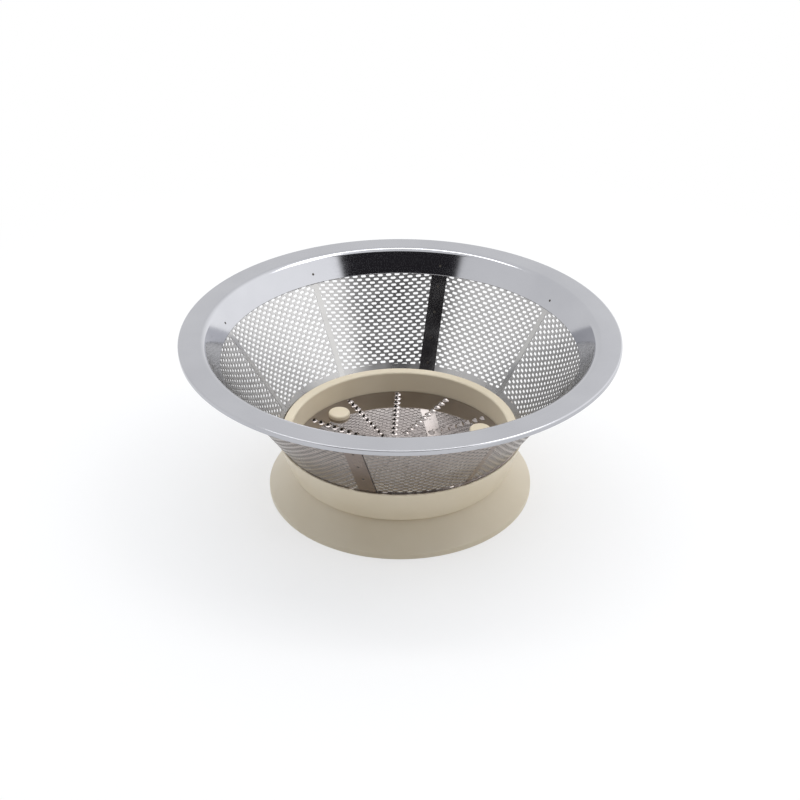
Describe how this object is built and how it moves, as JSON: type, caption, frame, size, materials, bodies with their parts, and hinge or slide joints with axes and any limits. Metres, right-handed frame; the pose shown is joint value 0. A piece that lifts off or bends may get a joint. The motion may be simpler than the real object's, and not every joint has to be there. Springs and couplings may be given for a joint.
{
  "type": "juicer mesh screen",
  "caption": "Spinning strainer basket of a centrifugal juicer: slotted steel cone under a flanged rim, on a cream plastic base with a toothed grater disc as its floor.",
  "frame": {"origin": "centre of the circle on which the foot stands", "axes": "+Z along the axis of spin, from the foot up to the rim; the lapped seams lie at azimuths 76 and 256 degrees from +X towards +Y"},
  "size_m": [0.16, 0.16, 0.0655],
  "materials": {
    "rim_steel": "bright pressed stainless steel",
    "screen_steel": "bright stainless sheet, etched with oblong slots",
    "disc_steel": "polished stainless steel",
    "cream_plastic": "semi-gloss cream moulding"
  },
  "bodies": {
    "root": {"rim_ring": "rim_steel", "mesh_half_right": "screen_steel", "mesh_half_left": "screen_steel", "base_ring": "cream_plastic", "drive_foot": "cream_plastic", "grater_disc": "disc_steel"}
  },
  "joints": []
}
